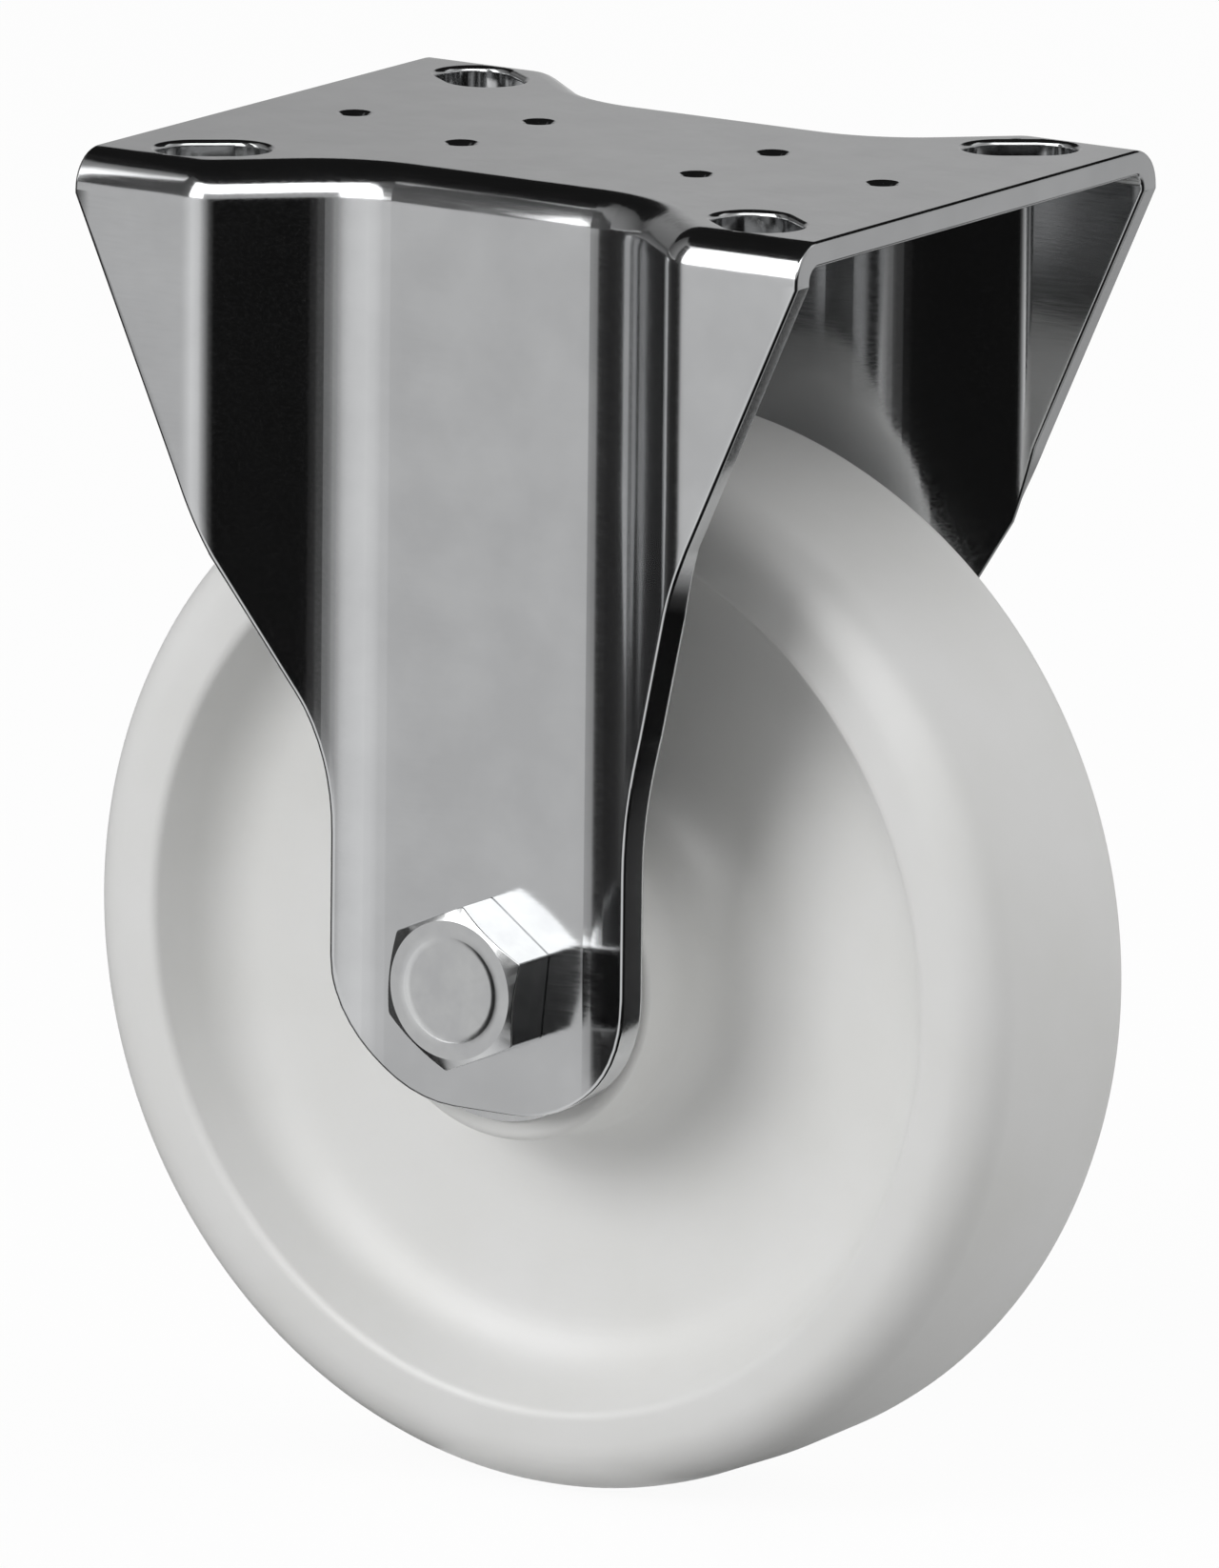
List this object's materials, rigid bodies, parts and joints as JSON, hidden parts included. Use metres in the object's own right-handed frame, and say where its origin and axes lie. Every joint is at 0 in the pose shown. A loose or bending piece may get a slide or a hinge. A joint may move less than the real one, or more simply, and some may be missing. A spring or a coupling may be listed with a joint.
{
  "type": "fixed castor",
  "caption": "Rigid plate castor: a pressed steel bracket with slotted top plate holds a solid nylon wheel on a bolted roller-bearing axle.",
  "frame": {"origin": "centre of the top plate's flat mounting face", "axes": "+Z out of the mounting face, away from the wheel; X along the plate's long side, the rolling direction; Y along the axle, with the bolt head on -Y"},
  "size_m": [0.125, 0.079, 0.155],
  "materials": {
    "zinc_sheet": "satin",
    "zinc_fastener": "satin",
    "polyamide": "satin",
    "nylon_ring": "satin",
    "bearing_steel": "polished",
    "cage_plastic": "matte"
  },
  "bodies": {
    "frame": {"bracket": "zinc_sheet", "axle_bolt": "zinc_fastener", "nut_washer": "zinc_fastener", "lock_nut": "zinc_fastener", "nut_insert": "nylon_ring", "axle_tube": "bearing_steel", "thrust_washer_head_side": "zinc_fastener", "thrust_washer_nut_side": "zinc_fastener"},
    "wheel_body": {"wheel": "polyamide"},
    "cage_body": {"roller_cage": "cage_plastic"},
    "roller_01_body": {"roller_01": "bearing_steel"},
    "roller_02_body": {"roller_02": "bearing_steel"},
    "roller_03_body": {"roller_03": "bearing_steel"},
    "roller_04_body": {"roller_04": "bearing_steel"},
    "roller_05_body": {"roller_05": "bearing_steel"},
    "roller_06_body": {"roller_06": "bearing_steel"},
    "roller_07_body": {"roller_07": "bearing_steel"},
    "roller_08_body": {"roller_08": "bearing_steel"},
    "roller_09_body": {"roller_09": "bearing_steel"},
    "roller_10_body": {"roller_10": "bearing_steel"}
  },
  "joints": [
    {"name": "wheel_spin", "type": "hinge", "parent": "frame", "child": "wheel_body", "pos_m": [0, 0, -0.0925], "axis": [0, 1, 0], "continuous": true},
    {"name": "cage_spin", "type": "hinge", "parent": "frame", "child": "cage_body", "pos_m": [0, 0, -0.0925], "axis": [0, 1, 0], "continuous": true},
    {"name": "roller_01_spin", "type": "hinge", "parent": "cage_body", "child": "roller_01_body", "pos_m": [0.00954, 0, -0.0925], "axis": [0, 1, 0], "continuous": true},
    {"name": "roller_02_spin", "type": "hinge", "parent": "cage_body", "child": "roller_02_body", "pos_m": [0.00772, 0, -0.08689], "axis": [0, 1, 0], "continuous": true},
    {"name": "roller_03_spin", "type": "hinge", "parent": "cage_body", "child": "roller_03_body", "pos_m": [0.00295, 0, -0.08343], "axis": [0, 1, 0], "continuous": true},
    {"name": "roller_04_spin", "type": "hinge", "parent": "cage_body", "child": "roller_04_body", "pos_m": [-0.00295, 0, -0.08343], "axis": [0, 1, 0], "continuous": true},
    {"name": "roller_05_spin", "type": "hinge", "parent": "cage_body", "child": "roller_05_body", "pos_m": [-0.00772, 0, -0.08689], "axis": [0, 1, 0], "continuous": true},
    {"name": "roller_06_spin", "type": "hinge", "parent": "cage_body", "child": "roller_06_body", "pos_m": [-0.00954, 0, -0.0925], "axis": [0, 1, 0], "continuous": true},
    {"name": "roller_07_spin", "type": "hinge", "parent": "cage_body", "child": "roller_07_body", "pos_m": [-0.00772, 0, -0.09811], "axis": [0, 1, 0], "continuous": true},
    {"name": "roller_08_spin", "type": "hinge", "parent": "cage_body", "child": "roller_08_body", "pos_m": [-0.00295, 0, -0.10157], "axis": [0, 1, 0], "continuous": true},
    {"name": "roller_09_spin", "type": "hinge", "parent": "cage_body", "child": "roller_09_body", "pos_m": [0.00295, 0, -0.10157], "axis": [0, 1, 0], "continuous": true},
    {"name": "roller_10_spin", "type": "hinge", "parent": "cage_body", "child": "roller_10_body", "pos_m": [0.00772, 0, -0.09811], "axis": [0, 1, 0], "continuous": true}
  ],
  "couplings": [
    {"joint": "cage_spin", "follows": "wheel_spin", "ratio": 0.60692},
    {"joint": "roller_01_spin", "follows": "wheel_spin", "ratio": 2.2759},
    {"joint": "roller_02_spin", "follows": "wheel_spin", "ratio": 2.2759},
    {"joint": "roller_03_spin", "follows": "wheel_spin", "ratio": 2.2759},
    {"joint": "roller_04_spin", "follows": "wheel_spin", "ratio": 2.2759},
    {"joint": "roller_05_spin", "follows": "wheel_spin", "ratio": 2.2759},
    {"joint": "roller_06_spin", "follows": "wheel_spin", "ratio": 2.2759},
    {"joint": "roller_07_spin", "follows": "wheel_spin", "ratio": 2.2759},
    {"joint": "roller_08_spin", "follows": "wheel_spin", "ratio": 2.2759},
    {"joint": "roller_09_spin", "follows": "wheel_spin", "ratio": 2.2759},
    {"joint": "roller_10_spin", "follows": "wheel_spin", "ratio": 2.2759}
  ]
}
